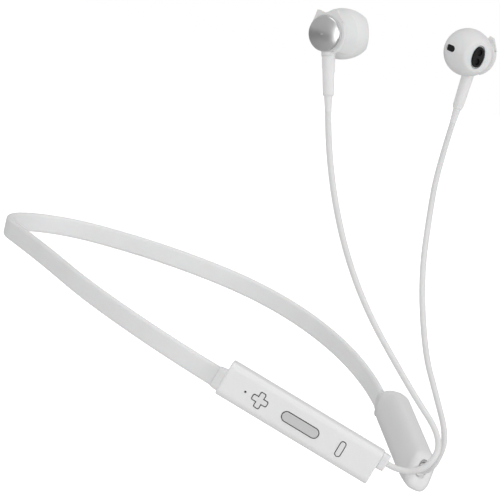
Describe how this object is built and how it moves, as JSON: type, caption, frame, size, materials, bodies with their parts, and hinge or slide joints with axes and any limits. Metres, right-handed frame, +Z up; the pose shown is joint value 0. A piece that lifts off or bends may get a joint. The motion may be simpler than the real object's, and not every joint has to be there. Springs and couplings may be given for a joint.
{
  "type": "neckband earphones",
  "caption": "Flat flexible neckband with a control pod and a battery pod at its ends, and a thin cord from each pod to a rounded in-ear bud with a metal disc back.",
  "frame": {"origin": "the middle of the band's inner face at the nape, where it rests on the neck", "axes": "+X from the nape to the chest, +Y to the wearer's left, +Z up"},
  "size_m": [0.2254, 0.1248, 0.174],
  "materials": {
    "soft_band": "matte silicone",
    "spring_metal": "drawn",
    "ribbon_cable": "matte",
    "pod_shell": "satin, soft-touch coat",
    "soft_collar": "matte silicone",
    "soft_gland": "matte",
    "circuit_board": "solder mask",
    "socket_metal": "plated",
    "white_key": "satin white",
    "satin_key": "satin grey",
    "switch_metal": "plated",
    "cell_foil": "foil",
    "cord_jacket": "matte",
    "bud_shell": "satin white",
    "disc_metal": "spun satin",
    "ear_silicone": "soft silicone",
    "soft_stem": "matte",
    "driver_metal": "plated",
    "clear_film": "thin film",
    "black_mesh": "black woven mesh",
    "magnet_plate": "nickel plated"
  },
  "bodies": {
    "neckband": {"band_sleeve": "soft_band", "memory_strip": "spring_metal", "band_ribbon": "ribbon_cable", "control_face_shell": "pod_shell", "control_back_shell": "pod_shell", "control_collar": "soft_collar", "control_gland": "soft_gland", "control_board": "circuit_board", "charging_socket": "socket_metal", "microphone": "black_mesh", "plus_switch": "switch_metal", "play_switch": "switch_metal", "minus_switch": "switch_metal", "battery_inner_shell": "pod_shell", "battery_outer_shell": "pod_shell", "battery_collar": "soft_collar", "battery_cell": "cell_foil", "protection_board": "circuit_board", "battery_gland": "soft_gland", "right_cord": "cord_jacket", "left_cord": "cord_jacket", "right_rear_housing": "bud_shell", "right_metal_disc": "disc_metal", "right_ear_cover": "ear_silicone", "right_front_housing": "bud_shell", "right_stem_sleeve": "soft_stem", "right_driver": "driver_metal", "right_diaphragm": "clear_film", "right_nozzle_grille": "black_mesh", "right_vent_mesh": "black_mesh", "right_snap_magnet": "magnet_plate", "left_rear_housing": "bud_shell", "left_metal_disc": "disc_metal", "left_ear_cover": "ear_silicone", "left_front_housing": "bud_shell", "left_stem_sleeve": "soft_stem", "left_driver": "driver_metal", "left_diaphragm": "clear_film", "left_nozzle_grille": "black_mesh", "left_vent_mesh": "black_mesh", "left_snap_magnet": "magnet_plate"},
    "plus_key": {"plus_button": "white_key"},
    "play_key": {"play_button": "satin_key"},
    "minus_key": {"minus_button": "white_key"}
  },
  "joints": [
    {"name": "plus_press", "type": "slide", "parent": "neckband", "child": "plus_key", "axis": [-0.4524, 0.8918, 0], "range_m": [0, 0.00035], "stiffness_N_per_m": 4500},
    {"name": "play_press", "type": "slide", "parent": "neckband", "child": "play_key", "axis": [-0.4524, 0.8918, 0], "range_m": [0, 0.00035], "stiffness_N_per_m": 4500},
    {"name": "minus_press", "type": "slide", "parent": "neckband", "child": "minus_key", "axis": [-0.4524, 0.8918, 0], "range_m": [0, 0.00035], "stiffness_N_per_m": 4500}
  ]
}
